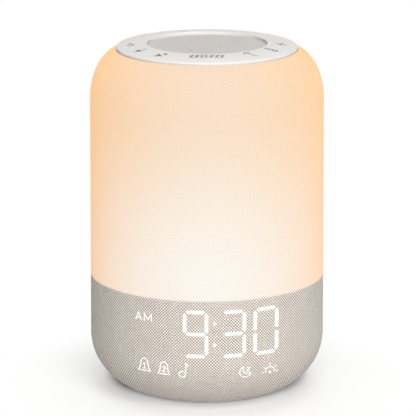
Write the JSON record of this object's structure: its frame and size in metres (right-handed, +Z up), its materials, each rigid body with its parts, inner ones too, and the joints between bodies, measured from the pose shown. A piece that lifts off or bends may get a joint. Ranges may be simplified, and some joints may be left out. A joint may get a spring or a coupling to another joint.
{
  "type": "sunrise alarm clock",
  "caption": "Cloth-covered drum clock: glowing upper part, weave-through display in the lower part, control ring and speaker on top, keys and power socket behind.",
  "frame": {"origin": "middle of the footprint on the table", "axes": "+Z up along the drum's axis, display towards -Y, keys and power socket towards +Y"},
  "size_m": [0.1106, 0.1115, 0.1663],
  "materials": {
    "cloth": "plain-woven polyester in cream and brown yarns",
    "ring_plastic": "satin off-white moulding",
    "grille_cloth": "fine grey acoustic weave",
    "white_plastic": "white moulding",
    "milky_plastic": "milky translucent moulding",
    "grey_plastic": "fine-textured warm grey moulding",
    "key_plastic": "satin light grey moulding",
    "black_plastic": "black moulding",
    "clear_plastic": "clear smoked moulding",
    "lit_signs": "clear light guides, lit white",
    "diodes": "phosphor-coated light-emitting diodes",
    "circuit_board": "green solder mask",
    "white_board": "white solder mask",
    "cable_jacket": "light grey jacket",
    "black_rubber": "matt rubber",
    "black_steel": "black powder coat",
    "bright_steel": "plated",
    "steel_screws": "zinc plated",
    "copper": "enamelled copper wire",
    "woven_spider": "resin-stiffened cloth",
    "ferrite": "sintered ferrite"
  },
  "bodies": {
    "clock": {"fabric_sleeve": "cloth", "control_ring": "ring_plastic", "touch_board": "circuit_board", "grille_cloth": "grille_cloth", "grille_mesh": "black_steel", "top_frame": "white_plastic", "top_screws": "steel_screws", "speaker_gasket": "black_rubber", "speaker_basket": "black_steel", "speaker_surround": "black_rubber", "speaker_spider": "woven_spider", "speaker_top_plate": "bright_steel", "speaker_magnet": "ferrite", "speaker_yoke": "bright_steel", "speaker_chamber": "white_plastic", "chamber_screws": "steel_screws", "diffuser_shell": "milky_plastic", "light_baffle": "white_plastic", "wire_duct": "white_plastic", "light_board": "white_board", "light_diodes": "diodes", "top_cable": "cable_jacket", "lower_shell": "grey_plastic", "display_window": "clear_plastic", "display_mask": "black_plastic", "segment_guides": "lit_signs", "display_board": "circuit_board", "display_diodes": "diodes", "display_header": "black_plastic", "main_board": "circuit_board", "board_screws": "steel_screws", "board_chips": "black_plastic", "capacitors": "bright_steel", "cable_connector": "black_plastic", "rear_panel": "grey_plastic", "key_board": "circuit_board", "key_switches": "black_plastic", "key_board_screws": "steel_screws", "key_cable": "cable_jacket", "power_socket": "black_plastic", "socket_pin": "bright_steel", "base_plate": "grey_plastic", "foot_ring": "black_rubber", "base_screws": "steel_screws", "coin_cell": "bright_steel", "cell_contact": "bright_steel", "cell_holder": "black_plastic"},
    "cone": {"speaker_cone": "black_plastic", "speaker_dust_cap": "black_plastic", "speaker_voice_coil": "copper"},
    "door": {"battery_door": "grey_plastic"},
    "alarm_one_key_body": {"alarm_one_key": "key_plastic"},
    "clock_key_body": {"clock_key": "key_plastic"},
    "alarm_two_key_body": {"alarm_two_key": "key_plastic"},
    "minus_key_body": {"minus_key": "key_plastic"},
    "plus_key_body": {"plus_key": "key_plastic"}
  },
  "joints": [
    {"name": "alarm_one_key_press", "type": "slide", "parent": "clock", "child": "alarm_one_key_body", "axis": [0, -1, 0], "range_m": [0, 0.0005], "stiffness_N_per_m": 800, "springref_m": -0.0005},
    {"name": "clock_key_press", "type": "slide", "parent": "clock", "child": "clock_key_body", "axis": [0, -1, 0], "range_m": [0, 0.0005], "stiffness_N_per_m": 800, "springref_m": -0.0005},
    {"name": "alarm_two_key_press", "type": "slide", "parent": "clock", "child": "alarm_two_key_body", "axis": [0, -1, 0], "range_m": [0, 0.0005], "stiffness_N_per_m": 800, "springref_m": -0.0005},
    {"name": "minus_key_press", "type": "slide", "parent": "clock", "child": "minus_key_body", "axis": [0, -1, 0], "range_m": [0, 0.0005], "stiffness_N_per_m": 800, "springref_m": -0.0005},
    {"name": "plus_key_press", "type": "slide", "parent": "clock", "child": "plus_key_body", "axis": [0, -1, 0], "range_m": [0, 0.0005], "stiffness_N_per_m": 800, "springref_m": -0.0005},
    {"name": "cone_travel", "type": "slide", "parent": "clock", "child": "cone", "axis": [0, 0, 1], "range_m": [-0.0008, 0.0008], "stiffness_N_per_m": 1500, "deforming": ["speaker_surround", "speaker_spider"]},
    {"name": "battery_door_twist", "type": "hinge", "parent": "clock", "child": "door", "pos_m": [0, 0, 0.002], "axis": [0, 0, 1], "range_deg": [0, 40]}
  ]
}
